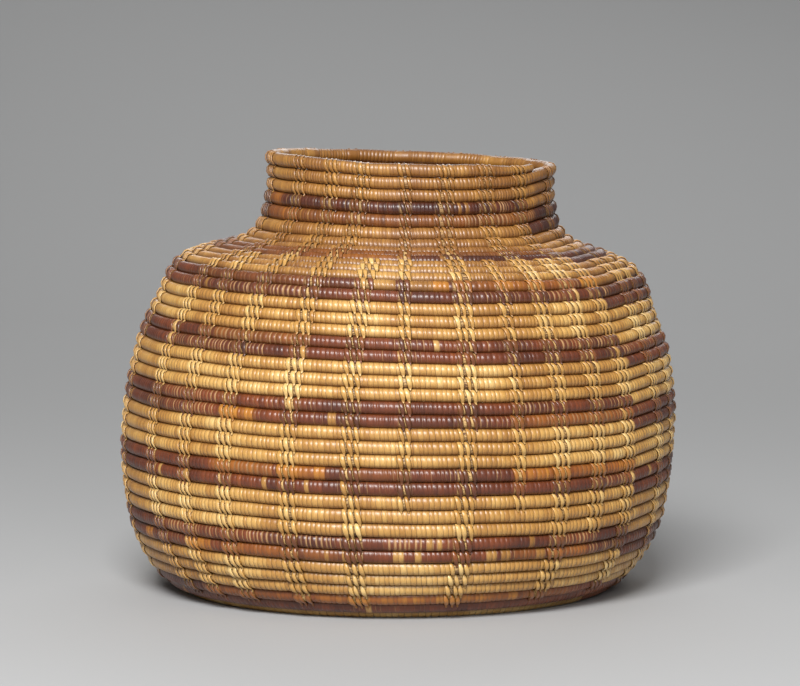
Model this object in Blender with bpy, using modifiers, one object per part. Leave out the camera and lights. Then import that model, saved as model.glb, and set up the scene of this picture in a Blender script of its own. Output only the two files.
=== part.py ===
# Coiled basket jar. One spiral coil runs from the start knot in the middle of the base,
# up the wall and over the shoulder to the rim. It changes colour every two or three turns,
# and columns of long stitches fasten each turn to the turn below.
# Metres, +Z up, front towards -Y. The origin is on the floor under the middle of the belly.
import math

import bmesh
import bpy
import numpy as np

MM = 0.001

# Form of the wall, measured at the middle line of the coil
BASE_RADIUS = 107.0 * MM
BELLY_RADIUS = 137.0 * MM
BELLY_HEIGHT = 82.0 * MM
SHOULDER_RADIUS = 115.5 * MM
NECK_RADIUS = 69.4 * MM
RIM_RADIUS = 70.5 * MM
RIM_HEIGHT = 216.0 * MM
SHOULDER_HEIGHT = RIM_HEIGHT * 0.741
NECK_HEIGHT = RIM_HEIGHT * 0.944

# Outline of the wall between its named sizes: share of the way in radius, then in height
LOWER_WALL_SHARES = [(0.27, 0.045), (0.57, 0.196), (0.85, 0.456)]
UPPER_WALL_SHARES = [(0.256, 0.513), (0.628, 0.769)]
SHOULDER_SHARES = [(0.423, 0.261), (0.727, 0.375), (0.911, 0.557), (0.983, 0.841)]
OUTLINE_STEPS = 60

# The jar leans a little, as the hand left it
RIM_SHIFT = 10.0 * MM  # towards +X
RIM_SLOPE_SHARE = 0.033  # the rim is lower at +X
RIM_NOD_SHARE = 0.02  # the rim is lower at the front

# Coil
COIL_DIAMETER = 5.75 * MM  # as an average over the wall
TURN_GAP = 0.55 * MM  # between one turn and the next
END_GAP = 0.3 * MM  # between two lengths of coil that meet end to end
BASE_PITCH_SHARE = 1.146  # pitch of the turns at the base against the average; at the rim it is 1
CORNERS_PER_TURN = 13
GAP_STEPS = 6  # places between two corners where the gap to the next turn is measured
SEAM_TURN_SHARE = 57.0 / 360.0  # where the colours change, to the right of the front
SEAM_RISE_SHARE = 0.45  # part of each turn's climb that is made at the seam
SEAM_WIDTH_SHARE = 0.02  # of a turn
LIGHT_TURNS = 3
DARK_TURNS = 2
DARK_BANDS = 8
TAIL_TURN_SHARE = 0.16  # length of the tapered end of the coil on the rim
TAIL_THIN_SHARE = 0.4  # thickness left at its tip

# Start of the coil in the base
START_RADIUS = 9.0 * MM
KNOT_SIDES = 24

# Long stitches
STITCH_WIDTH = 8.4 * MM  # three strips side by side
STITCH_THICKNESS = 1.0 * MM
STITCH_GAP = 0.45 * MM  # to the fullest part of a turn
STITCH_SLACK = 0.12 * MM  # a turn that a stitch passes may stand this far out
STITCH_BRIDGE = 0.8 * MM  # and this far in

# Columns that can be seen from the front: the turns at which each starts and ends, and its
# degrees to the right of the front at the turns of COLUMN_STOPS. Some start at the rim and
# others on the shoulder, where there is more room.
RIM_START = 1
SHOULDER_START = 10
FOOT_END = 38
MIDDLE_END = 31
RIGHT_END = 33
COLUMN_STOPS = [0, 6, 13, 20, 27, 34, 39]
FRONT_COLUMNS = [
    (RIM_START, FOOT_END, [-75.0, -77.0, -78.0, -78.0, -78.5, -78.0, -77.0]),
    (RIM_START, FOOT_END, [-49.5, -53.0, -57.8, -59.3, -60.0, -57.5, -55.5]),
    (SHOULDER_START, FOOT_END, [-47.5, -47.5, -47.6, -47.8, -47.8, -46.8, -46.0]),
    (RIM_START, FOOT_END, [-32.8, -35.0, -35.5, -36.5, -36.7, -35.9, -35.3]),
    (RIM_START, FOOT_END, [-19.5, -22.0, -22.5, -22.4, -22.1, -21.5, -20.7]),
    (SHOULDER_START, FOOT_END, [-10.0, -10.0, -10.5, -10.4, -9.3, -8.0, -7.5]),
    (RIM_START, MIDDLE_END, [-2.6, -1.8, -1.0, 0.3, 1.2, 2.2, 2.4]),
    (RIM_START, FOOT_END, [13.2, 12.6, 12.3, 12.8, 13.4, 13.9, 13.5]),
    (SHOULDER_START, MIDDLE_END, [21.5, 21.5, 22.0, 23.0, 24.2, 25.5, 26.0]),
    (RIM_START, FOOT_END, [30.4, 31.0, 31.0, 32.4, 33.8, 35.3, 35.0]),
    (SHOULDER_START, RIGHT_END, [39.8, 39.8, 40.0, 41.8, 43.4, 44.9, 45.0]),
    (RIM_START, FOOT_END, [48.0, 47.5, 48.5, 51.2, 53.4, 55.0, 55.0]),
    (SHOULDER_START, FOOT_END, [61.0, 61.0, 62.0, 64.0, 68.0, 71.0, 72.0]),
    (RIM_START, FOOT_END, [72.0, 70.0, 69.5, 73.5, 78.0, 82.0, 83.0]),
]
BACK_COLUMNS = 18  # evenly spaced between the first and the last of these, every other one short

LIGHT_FIBRE = (0.52, 0.33, 0.15, 1.0)
DARK_FIBRE = (0.13, 0.045, 0.03, 1.0)
STITCH_FIBRE = (0.60, 0.41, 0.20, 1.0)
KNOT_FIBRE = (0.42, 0.27, 0.13, 1.0)
FIBRE_ROUGHNESS = 0.45


def clear_scene():
    for old in list(bpy.data.objects):
        bpy.data.objects.remove(old, do_unlink=True)


def fibre_material(name, colour):
    material = bpy.data.materials.new(name)
    material.use_nodes = True
    shader = material.node_tree.nodes["Principled BSDF"]
    shader.inputs["Base Color"].default_value = colour
    shader.inputs["Roughness"].default_value = FIBRE_ROUGHNESS
    shader.inputs["Metallic"].default_value = 0.0
    material.diffuse_color = colour
    return material


def between(start, end, shares):
    """Points from one (radius, height) to another, at the given shares of the way."""
    return [
        (start[0] + (end[0] - start[0]) * across, start[1] + (end[1] - start[1]) * up)
        for across, up in shares
    ]


def smooth_outline(points):
    """A centripetal Catmull-Rom curve through the points."""
    nodes = np.array(points)
    nodes = np.vstack([2 * nodes[0] - nodes[1], nodes, 2 * nodes[-1] - nodes[-2]])
    curve = []
    for p0, p1, p2, p3 in zip(nodes, nodes[1:], nodes[2:], nodes[3:]):
        t1 = math.sqrt(np.linalg.norm(p1 - p0))
        t2 = t1 + math.sqrt(np.linalg.norm(p2 - p1))
        t3 = t2 + math.sqrt(np.linalg.norm(p3 - p2))
        t = np.linspace(t1, t2, OUTLINE_STEPS, endpoint=False)[:, None]
        a1 = (t1 - t) / t1 * p0 + t / t1 * p1
        a2 = (t2 - t) / (t2 - t1) * p1 + (t - t1) / (t2 - t1) * p2
        a3 = (t3 - t) / (t3 - t2) * p2 + (t - t2) / (t3 - t2) * p3
        b1 = (t2 - t) / t2 * a1 + t / t2 * a2
        b2 = (t3 - t) / (t3 - t1) * a2 + (t - t1) / (t3 - t1) * a3
        curve.append((t2 - t) / (t2 - t1) * b1 + (t - t1) / (t2 - t1) * b2)
    curve.append(nodes[-2][None])
    return np.vstack(curve)


# Pitch of the turns: it follows a curve with a low middle, whose average is the mean pitch
MEAN_PITCH = COIL_DIAMETER + TURN_GAP
BASE_PITCH = MEAN_PITCH * BASE_PITCH_SHARE
MIDDLE_PITCH_DROP = (BASE_PITCH - MEAN_PITCH) * 3

# Corners of the coil stand out so that its polygon has the size of the round turn
CHORD_SHARE = math.cos(math.pi / CORNERS_PER_TURN)
CORNER_SHARE = 2 / (1 + CHORD_SHARE)

# The base coil lies on one flat side of its six
BASE_COIL_RADIUS = (BASE_PITCH * CORNER_SHARE * CHORD_SHARE - TURN_GAP) / 2
FLAT_SHARE = math.cos(math.pi / 6)
FLOOR_HEIGHT = BASE_COIL_RADIUS * FLAT_SHARE

FOOT = (BASE_RADIUS, FLOOR_HEIGHT)
BELLY = (BELLY_RADIUS, BELLY_HEIGHT)
SHOULDER = (SHOULDER_RADIUS, SHOULDER_HEIGHT)
NECK = (NECK_RADIUS, NECK_HEIGHT)
RIM = (RIM_RADIUS, RIM_HEIGHT)
OUTLINE = smooth_outline(
    [FOOT]
    + between(FOOT, BELLY, LOWER_WALL_SHARES)
    + [BELLY]
    + between(BELLY, SHOULDER, UPPER_WALL_SHARES)
    + [SHOULDER]
    + between(SHOULDER, NECK, SHOULDER_SHARES)
    + [NECK, RIM]
)
ALONG = np.concatenate([[0.0], np.cumsum(np.linalg.norm(np.diff(OUTLINE, axis=0), axis=1))])
WALL_TURNS = ALONG[-1] / MEAN_PITCH
BASE_TURNS = (BASE_RADIUS - START_RADIUS) / BASE_PITCH


def shifted(up):
    """How far the jar leans over at this share of its height."""
    return RIM_SHIFT * up * up * (3 - 2 * up)


def leaned(radius, height, turn):
    """Place on the leaning jar. Turns count down from the rim, where the coil ends at the seam."""
    angle = 2 * math.pi * (SEAM_TURN_SHARE - turn) - math.pi / 2
    x = radius * CORNER_SHARE * math.cos(angle)
    y = radius * CORNER_SHARE * math.sin(angle)
    up = (height - FLOOR_HEIGHT) / (RIM_HEIGHT - FLOOR_HEIGHT)
    slope = x * RIM_SLOPE_SHARE - y * RIM_NOD_SHARE
    return np.array([x + shifted(up) - shifted(BELLY_HEIGHT / RIM_HEIGHT), y, height - slope * up])


def climbed(turn):
    """The turn whose height the coil has reached, with part of each turn's climb at the seam."""
    if turn > math.floor(WALL_TURNS) + 0.5:
        return turn
    off = turn - round(turn)
    return turn + SEAM_RISE_SHARE * (math.tanh(off / SEAM_WIDTH_SHARE) / 2 - off)


def on_outline(turn):
    """Radius and height of the coil's middle line, so many turns below the rim."""
    if turn > WALL_TURNS:
        return BASE_RADIUS - (turn - WALL_TURNS) * BASE_PITCH, FLOOR_HEIGHT
    if turn < 0:
        return RIM_RADIUS, RIM_HEIGHT - turn * MEAN_PITCH
    part = turn / WALL_TURNS
    down = MEAN_PITCH * part + (BASE_PITCH - MEAN_PITCH) * part**2 / 2
    down -= MIDDLE_PITCH_DROP * (part**2 / 2 - part**3 / 3)
    along = ALONG[-1] - down * WALL_TURNS
    return np.interp(along, ALONG, OUTLINE[:, 0]), np.interp(along, ALONG, OUTLINE[:, 1])


def coil_point(turn):
    radius, height = on_outline(climbed(turn))
    return leaned(radius, height, turn)


def coil_radius(turn):
    """Half the room that the coil has between the turns on either side of it."""
    here = coil_point(turn)
    room = [np.linalg.norm(coil_point(turn + 1) - here)]
    if turn > 1 - 1 / CORNERS_PER_TURN:
        room.append(np.linalg.norm(coil_point(turn - 1) - here))
    return (min(room) * CHORD_SHARE - TURN_GAP) / 2


def wall_tilt(turn):
    """Turn of the coil's section that points a corner at the turn below."""
    radius, height = on_outline(turn)
    below_radius, below_height = on_outline(turn + 1)
    return math.atan2(height - below_height, radius - below_radius)


def tail_thickness_share(turn):
    """The coil's last stretch tapers to its tip."""
    return TAIL_THIN_SHARE + (1 - TAIL_THIN_SHARE) * min(max(turn / TAIL_TURN_SHARE, 0.0), 1.0)


def cord_corner(turn):
    """Middle and radius of the cord. The tapered tail sinks until it lies on the turn below it."""
    here = coil_point(turn)
    below = coil_point(turn + 1)
    full = min(coil_radius(turn), BASE_COIL_RADIUS)
    radius = full * tail_thickness_share(turn)
    return here + (below - here) / np.linalg.norm(below - here) * (full - radius), radius


def cord_at(turn):
    """Middle, radius and direction of the cord on the straight run between two of its corners."""
    before = (math.floor(turn * CORNERS_PER_TURN - 0.5) + 0.5) / CORNERS_PER_TURN
    start, start_radius = cord_corner(before)
    end, end_radius = cord_corner(before + 1 / CORNERS_PER_TURN)
    share = (turn - before) * CORNERS_PER_TURN
    along = (end - start) / np.linalg.norm(end - start)
    return start + (end - start) * share, start_radius + (end_radius - start_radius) * share, along


def least_gap(turns, points, radii):
    """Smallest gap between the cord and itself a turn on, from points along its length."""
    along = np.arange(turns[0], turns[-1], 1 / (CORNERS_PER_TURN * GAP_STEPS))
    places = np.column_stack([np.interp(along, turns, axis) for axis in np.transpose(points)])
    thick = np.interp(along, turns, radii)
    apart = np.linalg.norm(places[:, None] - places[None], axis=2) - thick[:, None] - thick[None]
    return apart[np.abs(along[:, None] - along[None]) > 0.5].min()


def coil_length(name, first, last, collection, material):
    """A length of the coil, an unbroken cord of six sides, from one turn to another."""
    corners = round((last - first) * CORNERS_PER_TURN)
    turns = [first] + [first + (k + 0.5) / CORNERS_PER_TURN for k in range(corners)] + [last]
    places = [cord_at(turn) for turn in turns]
    points = [point for point, _, _ in places]
    points[0] = points[0] + places[0][2] * END_GAP / 2
    points[-1] = points[-1] - places[-1][2] * END_GAP / 2
    radii = [radius for _, radius, _ in places]
    curve = bpy.data.curves.new(name, "CURVE")
    curve.dimensions = "3D"
    curve.twist_mode = "Z_UP"
    curve.bevel_depth = 1.0
    curve.bevel_resolution = 1
    curve.use_fill_caps = True
    spline = curve.splines.new("POLY")
    spline.points.add(len(points) - 1)
    for corner, turn, point, radius in zip(spline.points, turns, points, radii):
        corner.co = (*point, 1.0)
        corner.radius = radius
        corner.tilt = wall_tilt(turn)
    cord = bpy.data.objects.new(name, curve)
    cord.data.materials.append(material)
    collection.objects.link(cord)
    print(f"{name}: least gap to itself {least_gap(turns, points, radii) / MM:.2f} mm")


def start_knot(collection, material):
    """The knot in the middle of the base, from which the coil starts."""
    start = coil_point(WALL_TURNS + BASE_TURNS)
    middle = coil_point(WALL_TURNS + BASE_TURNS + START_RADIUS / BASE_PITCH)
    radius = np.linalg.norm(start - middle) * CHORD_SHARE - BASE_COIL_RADIUS - END_GAP
    mesh = bpy.data.meshes.new("start_knot")
    shape = bmesh.new()
    bmesh.ops.create_cone(
        shape,
        cap_ends=True,
        segments=KNOT_SIDES,
        radius1=radius,
        radius2=radius,
        depth=2 * FLOOR_HEIGHT,
    )
    shape.to_mesh(mesh)
    shape.free()
    mesh.materials.append(material)
    knot = bpy.data.objects.new("start_knot", mesh)
    knot.location = middle
    collection.objects.link(knot)


def column_step(turn):
    """Place on the coil's surface at this turn, its outward direction and the coil's own."""
    place, radius, along = cord_at(turn)
    out = np.cross(along, coil_point(turn + 1) - coil_point(turn - 1))
    out /= np.linalg.norm(out)
    return place + out * (radius + STITCH_GAP + STITCH_THICKNESS / 2), out, along


def kept_steps(steps):
    """The fewest of the steps that a straight strip can join without cutting into a turn."""
    kept = [steps[0]]
    start = 0
    while start < len(steps) - 1:
        end = start + 1
        for far in range(start + 2, len(steps)):
            span = steps[far][0] - steps[start][0]
            span /= np.linalg.norm(span)
            offsets = [step[0] - steps[start][0] for step in steps[start + 1 : far]]
            normals = [step[1] for step in steps[start + 1 : far]]
            stands_out = [(off - span * (off @ span)) @ normal for off, normal in zip(offsets, normals)]
            if min(stands_out) < -STITCH_BRIDGE or max(stands_out) > STITCH_SLACK:
                break
            end = far
        kept.append(steps[end])
        start = end
    return kept


def stitch_column(name, first, last, degrees, collection, material):
    """A strip of long stitches that runs down the wall and holds its turns together."""
    steps = []
    for row in range(math.ceil(WALL_TURNS)):
        turn = row + (SEAM_TURN_SHARE - np.interp(row, COLUMN_STOPS, degrees) / 360) % 1.0
        if first <= turn <= last:
            steps.append(column_step(turn))
    mesh = bpy.data.meshes.new(name)
    shape = bmesh.new()
    rungs = []
    for place, _, along in kept_steps(steps):
        side = along * STITCH_WIDTH / 2
        rungs.append(shape.edges.new((shape.verts.new(place - side), shape.verts.new(place + side))))
    for upper, lower in zip(rungs, rungs[1:]):
        bmesh.ops.bridge_loops(shape, edges=[upper, lower])
    bmesh.ops.recalc_face_normals(shape, faces=shape.faces)
    shape.to_mesh(mesh)
    shape.free()
    mesh.materials.append(material)
    strip = bpy.data.objects.new(name, mesh)
    wall = strip.modifiers.new("thickness", "SOLIDIFY")
    wall.thickness = STITCH_THICKNESS
    wall.offset = 0.0
    collection.objects.link(strip)


def all_columns():
    """The columns seen from the front, and those that go on round the back at an even spacing."""
    columns = list(FRONT_COLUMNS)
    left = np.array(FRONT_COLUMNS[0][2]) + 360
    right = np.array(FRONT_COLUMNS[-1][2])
    for k in range(1, BACK_COLUMNS + 1):
        share = k / (BACK_COLUMNS + 1)
        start = RIM_START if k % 2 == 0 else SHOULDER_START
        columns.append((start, FOOT_END, right + (left - right) * share))
    return columns


def build_jar():
    clear_scene()
    jar = bpy.data.collections.new("coiled_jar")
    bpy.context.scene.collection.children.link(jar)
    light = fibre_material("light_fibre", LIGHT_FIBRE)
    dark = fibre_material("dark_fibre", DARK_FIBRE)
    stitch = fibre_material("stitch_fibre", STITCH_FIBRE)
    knot = fibre_material("knot_fibre", KNOT_FIBRE)

    coil_length("rim_coils", 0, LIGHT_TURNS, jar, light)
    turn = LIGHT_TURNS
    for band in range(1, DARK_BANDS + 1):
        coil_length(f"dark_coils_{band}", turn, turn + DARK_TURNS, jar, dark)
        turn += DARK_TURNS
        if band < DARK_BANDS:
            coil_length(f"light_coils_{band}", turn, turn + LIGHT_TURNS, jar, light)
            turn += LIGHT_TURNS
    coil_length("base_coils", turn, WALL_TURNS + BASE_TURNS, jar, light)
    start_knot(jar, knot)
    for number, (first, last, degrees) in enumerate(all_columns(), 1):
        stitch_column(f"stitch_column_{number:02d}", first, last, degrees, jar, stitch)
    print(f"wall turns {WALL_TURNS:.2f}, base turns {BASE_TURNS:.2f}")


build_jar()
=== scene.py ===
# Coiled basket jar in plant fibre: the wrapped coil, its long stitches and a plain studio.
import math

import bmesh
import bpy
import numpy as np
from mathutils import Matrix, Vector


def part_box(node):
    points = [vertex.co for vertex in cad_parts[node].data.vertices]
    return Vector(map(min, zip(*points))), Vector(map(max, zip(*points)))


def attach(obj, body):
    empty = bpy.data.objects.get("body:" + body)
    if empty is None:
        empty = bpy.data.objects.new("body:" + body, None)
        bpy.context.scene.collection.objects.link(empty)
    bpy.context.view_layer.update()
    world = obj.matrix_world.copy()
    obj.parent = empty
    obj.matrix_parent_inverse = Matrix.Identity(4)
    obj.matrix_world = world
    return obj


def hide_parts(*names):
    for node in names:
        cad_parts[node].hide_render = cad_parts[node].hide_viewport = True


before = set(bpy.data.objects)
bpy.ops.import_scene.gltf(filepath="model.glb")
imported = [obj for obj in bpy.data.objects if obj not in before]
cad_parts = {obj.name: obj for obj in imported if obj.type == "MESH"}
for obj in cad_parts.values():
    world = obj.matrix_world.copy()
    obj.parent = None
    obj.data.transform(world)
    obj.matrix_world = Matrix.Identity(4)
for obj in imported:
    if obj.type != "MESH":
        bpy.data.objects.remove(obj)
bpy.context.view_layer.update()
mm = 0.001
rng = np.random.default_rng(41)
print("frame loaded,", len(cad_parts), "nodes")

# The course of the coil. Turns count down from the rim, where the coil ends at the seam.
course = {
    "outline": [  # radius and height of the coil's middle line in millimetres, floor to rim
        (107.0, 2.95),
        (115.1, 6.4),
        (124.1, 18.4),
        (132.5, 38.9),
        (137.0, 82.0),
        (131.5, 122.0),
        (123.5, 142.0),
        (115.5, 160.0),
        (96.0, 171.5),
        (82.0, 176.5),
        (73.5, 184.5),
        (70.2, 197.0),
        (69.4, 204.0),
        (70.5, 216.0),
    ],
    "pitch": 6.3 * mm,
    "basePitch": 7.22 * mm,
    "seam": 57 / 360,  # to the right of the front, as a share of a turn
    "seamRise": 0.45,  # part of each turn's climb that is made at the seam
    "seamWidth": 0.02,  # as a share of a turn
    "shift": 9.2 * mm,  # how far the rim leans to the right
    "beltHeight": 82 * mm,  # where the jar stands over the origin
    "slope": 0.033,  # the rim is lower on the right
    "nod": 0.02,  # and lower at the front
    "startRadius": 9 * mm,
    "waver": 0.28 * mm,  # how far the hand strayed out and in
    "waverWaves": ((3.1, 6.37, 11.83, 17.2), 0.9),  # waves in a turn, and their phase
    "waverHeight": 20 * mm,  # the base lies still, and from here up the waver is full
    "stray": 0.045,  # up and down, as a share of the pitch
    "strayWaves": ((2.02, 5.03, 9.04, 14.06), 0.6),
    # how uneven the rows are: turn, and the lift in millimetres at the front, more to the left
    # than to the right, and at the sides and back
    "rows": [
        (0, -0.4, 0.1, 3.2),
        (4, -0.3, 0.0, 2.1),
        (6.3, -1.8, -0.8, 0.2),
        (9, -1.0, -0.7, -0.3),
        (11, -0.4, -0.2, 0.2),
        (13, 0.1, 0.5, 1.5),
        (18, 0.2, 1.8, 1.1),
        (22, 0.6, 1.7, 0.5),
        (28, 0.4, 1.7, -0.3),
        (33, -0.6, 2.4, 0),
        (35, 0, 1.7, -0.6),
        (37, 1.3, 1.0, -0.8),
        (38, 2.1, 0.6, -0.4),
        (39, 1.8, 0.3, 0),
        (40, 0, 0, 0),
    ],
}


def smoothLine(points, steps=60):  # a centripetal Catmull-Rom curve through the points
    knots = np.array(points, float)
    knots = np.vstack([2 * knots[0] - knots[1], knots, 2 * knots[-1] - knots[-2]])
    line = []
    for p0, p1, p2, p3 in zip(knots, knots[1:], knots[2:], knots[3:]):
        t1 = math.sqrt(np.linalg.norm(p1 - p0))
        t2 = t1 + math.sqrt(np.linalg.norm(p2 - p1))
        t3 = t2 + math.sqrt(np.linalg.norm(p3 - p2))
        t = np.linspace(t1, t2, steps, endpoint=False)[:, None]
        a1 = (t1 - t) / t1 * p0 + t / t1 * p1
        a2 = (t2 - t) / (t2 - t1) * p1 + (t - t1) / (t2 - t1) * p2
        a3 = (t3 - t) / (t3 - t2) * p2 + (t - t2) / (t3 - t2) * p3
        b1 = (t2 - t) / t2 * a1 + t / t2 * a2
        b2 = (t3 - t) / (t3 - t1) * a2 + (t - t1) / (t3 - t1) * a3
        line.append((t2 - t) / (t2 - t1) * b1 + (t - t1) / (t2 - t1) * b2)
    line.append(knots[-2][None])
    return np.vstack(line)


outline = smoothLine(course["outline"]) * mm
outlineRun = np.concatenate([[0], np.cumsum(np.linalg.norm(np.diff(outline, axis=0), axis=1))])
wallTurns = outlineRun[-1] / course["pitch"]
allTurns = wallTurns + (outline[0, 0] - course["startRadius"]) / course["basePitch"]
floorHeight = outline[0, 1]
rimHeight = outline[-1, 1]


def eased(share):
    return share**2 * (3 - 2 * share)


def smoothStep(low, high, value):
    return eased(np.clip((value - low) / (high - low), 0, 1))


def ripple(turn, waves, phase):  # a smooth waver along the coil, between about -1 and 1
    parts = [np.sin(2 * np.pi * turn * wave + phase * (k + 1.7)) for k, wave in enumerate(waves)]
    return sum(parts) / math.sqrt(len(parts)) / 1.4


def climbed(turn):  # the turn whose height the coil has here, because it climbs most at the seam
    off = turn - np.round(turn)
    rise = course["seamRise"] * (np.tanh(off / course["seamWidth"]) / 2 - off)
    rise = rise + course["stray"] * ripple(turn, *course["strayWaves"])
    return np.where(turn > math.floor(wallTurns) + 0.5, turn, turn + rise)


def onOutline(turn):  # radius and height of the coil's middle line on an upright jar
    # the pitch is narrower than its mean halfway up the wall, and the base's own at the foot
    part = turn / wallTurns
    extra = course["basePitch"] - course["pitch"]
    down = course["pitch"] * part + extra * part**2 / 2 - 3 * extra * (part**2 / 2 - part**3 / 3)
    run = outlineRun[-1] - down * wallTurns
    radius = np.interp(run, outlineRun, outline[:, 0])
    height = np.interp(run, outlineRun, outline[:, 1])
    radius = np.where(turn > wallTurns, outline[0, 0] - (turn - wallTurns) * course["basePitch"], radius)
    height = np.where(turn < 0, rimHeight - turn * course["pitch"], height)
    return radius, height


def leaned(radius, height, turn):  # the place on the jar as it leans, with its uneven rows
    angle = 2 * np.pi * (course["seam"] - turn) - np.pi / 2
    x = radius * np.cos(angle)
    y = radius * np.sin(angle)
    up = (height - floorHeight) / (rimHeight - floorHeight)
    belt = course["beltHeight"] / rimHeight
    shift = course["shift"] * (eased(up) - eased(belt))
    slope = x * course["slope"] - y * course["nod"]
    turns, front, left, sides = np.array(course["rows"]).T
    lift = np.interp(turn, turns, front) - np.cos(angle) * np.interp(turn, turns, left)
    notFront = 1 - np.exp(-2 - 2 * np.sin(angle))
    lift = lift + notFront * np.interp(turn, turns, sides)
    return np.stack([x + shift, y, height - slope * up + lift * mm], axis=-1)


def coilMiddle(turn):
    radius, height = onOutline(climbed(turn))
    onWall = smoothStep(floorHeight, floorHeight + course["waverHeight"], height)
    radius = radius + onWall * course["waver"] * ripple(turn, *course["waverWaves"])
    return leaned(radius, height, turn)


def unit(vectors):
    return vectors / np.linalg.norm(vectors, axis=-1, keepdims=True)


def coilFrame(turn):
    # the coil's middle, its own direction, the way out of the wall, the way up it, and half of
    # the way to the turn above and to the turn below
    step = 0.002
    middle = coilMiddle(turn)
    along = unit(coilMiddle(turn + step) - coilMiddle(turn - step))
    above = coilMiddle(turn - 1) - middle
    below = coilMiddle(turn + 1) - middle
    above = above - along * np.sum(above * along, axis=-1, keepdims=True)
    below = below - along * np.sum(below * along, axis=-1, keepdims=True)
    up = unit(above - below)
    out = np.cross(up, along)
    roomBelow = np.linalg.norm(below, axis=-1) / 2
    roomAbove = np.where(turn < 1, roomBelow, np.linalg.norm(above, axis=-1) / 2)
    return middle, along, out, up, roomAbove, roomBelow


# The columns of long stitches: how many stand side by side, the turns at which a column starts
# and ends, and its degrees to the right of the front at the turns of the stops
columns = {
    "stops": [0, 6, 13, 20, 27, 34, 39],
    "front": [
        (3, 0, 39, [-75.0, -77.0, -78.0, -78.0, -78.5, -78.0, -77.0]),
        (3, 0, 39, [-49.5, -53.0, -57.8, -59.3, -60.0, -57.5, -55.5]),
        (3, 10, 39, [-47.5, -47.5, -47.6, -47.8, -47.8, -46.8, -46.0]),
        (3, 0, 39, [-32.8, -35.0, -35.5, -36.5, -36.7, -35.9, -35.3]),
        (3, 0, 39, [-19.5, -22.0, -22.5, -22.4, -22.1, -21.5, -20.7]),
        (3, 10, 39, [-10.0, -10.0, -10.5, -10.4, -9.3, -8.0, -7.5]),
        (2, 0, 31, [-2.6, -1.8, -1.0, 0.3, 1.2, 2.2, 2.4]),
        (3, 0, 39, [13.2, 12.6, 12.3, 12.8, 13.4, 13.9, 13.5]),
        (2, 10, 31, [21.5, 21.5, 22.0, 23.0, 24.2, 25.5, 26.0]),
        (3, 0, 39, [30.4, 31.0, 31.0, 32.4, 33.8, 35.3, 35.0]),
        (3, 10, 33, [39.8, 39.8, 40.0, 41.8, 43.4, 44.9, 45.0]),
        (3, 0, 39, [48.0, 47.5, 48.5, 51.2, 53.4, 55.0, 55.0]),
        (3, 10, 39, [61.0, 61.0, 62.0, 64.0, 68.0, 71.0, 72.0]),
        (3, 0, 39, [72.0, 70.0, 69.5, 73.5, 78.0, 82.0, 83.0]),
    ],
    "behind": 18,  # evenly spaced between the first and the last of these, every other one short
    "spacing": 3.1 * mm,
    "wrapIn": 0.6 * mm,  # how far the wrapping runs in under the outer stitches
}


def allColumns():
    found = list(columns["front"])
    lastTurn = columns["stops"][-1]
    left = np.array(found[0][3]) + 360
    right = np.array(found[-1][3])
    for k in range(1, columns["behind"] + 1):
        share = k / (columns["behind"] + 1)
        across = 2 if k % 5 == 2 else 3  # a few have two stitches, as at the front
        first = 0 if k % 2 == 0 else coil["neckTurns"]
        found.append((across, first, lastTurn, right + (left - right) * share))
    return found


def toColumn(turn):
    # distance along the coil to the nearest column, and half of that column's width
    radius, _ = onOutline(turn)
    nearest = np.full(turn.shape, np.inf)
    half = np.full(turn.shape, columns["spacing"])
    for across, first, last, degrees in allColumns():
        place = np.interp(turn, columns["stops"], degrees)
        apart = ((course["seam"] - turn) * 360 - place + 180) % 360 - 180
        distance = np.where((turn >= first) & (turn <= last), np.abs(np.radians(apart) * radius), np.inf)
        nearer = distance < nearest
        nearest = np.where(nearer, distance, nearest)
        half = np.where(nearer, columns["spacing"] * across / 2 - columns["wrapIn"], half)
    return nearest, half


# Surface attributes: tone 0 to 1, groove between wraps, bare foundation, worn dye, dark dye
# and the dirt and painted shade in the crevice between two turns
attributeNames = ("tone", "groove", "straw", "worn", "dark", "crevice")
weldDistance = 0.004 * mm


def gridMesh(name, rings, sides):
    # a flat sheet with a place for each ring and side, to be rolled up into a closed tube
    shape = bmesh.new()
    bmesh.ops.create_grid(shape, x_segments=rings - 1, y_segments=sides, size=1)
    mesh = bpy.data.meshes.new(name)
    shape.to_mesh(mesh)
    shape.free()
    flat = np.zeros(len(mesh.vertices) * 3)
    mesh.vertices.foreach_get("co", flat)
    flat = flat.reshape(-1, 3)
    ring = np.rint((flat[:, 0] + 1) / 2 * (rings - 1)).astype(int)
    side = np.rint((flat[:, 1] + 1) / 2 * sides).astype(int)
    return mesh, ring, side


def cornerPlaces(mesh, ring, side, sides):
    # for each corner of a face its ring and side, and the first ring of that face
    corner = np.zeros(len(mesh.loops), int)
    mesh.loops.foreach_get("vertex_index", corner)
    rings = ring[corner]
    firstRing = np.repeat(rings.reshape(-1, 4).min(axis=1), 4)
    return rings, side[corner] / sides, firstRing


def inCell(share, margin):  # keeps neighbours apart in the layout for baking
    return margin + (1 - 2 * margin) * share


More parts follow.
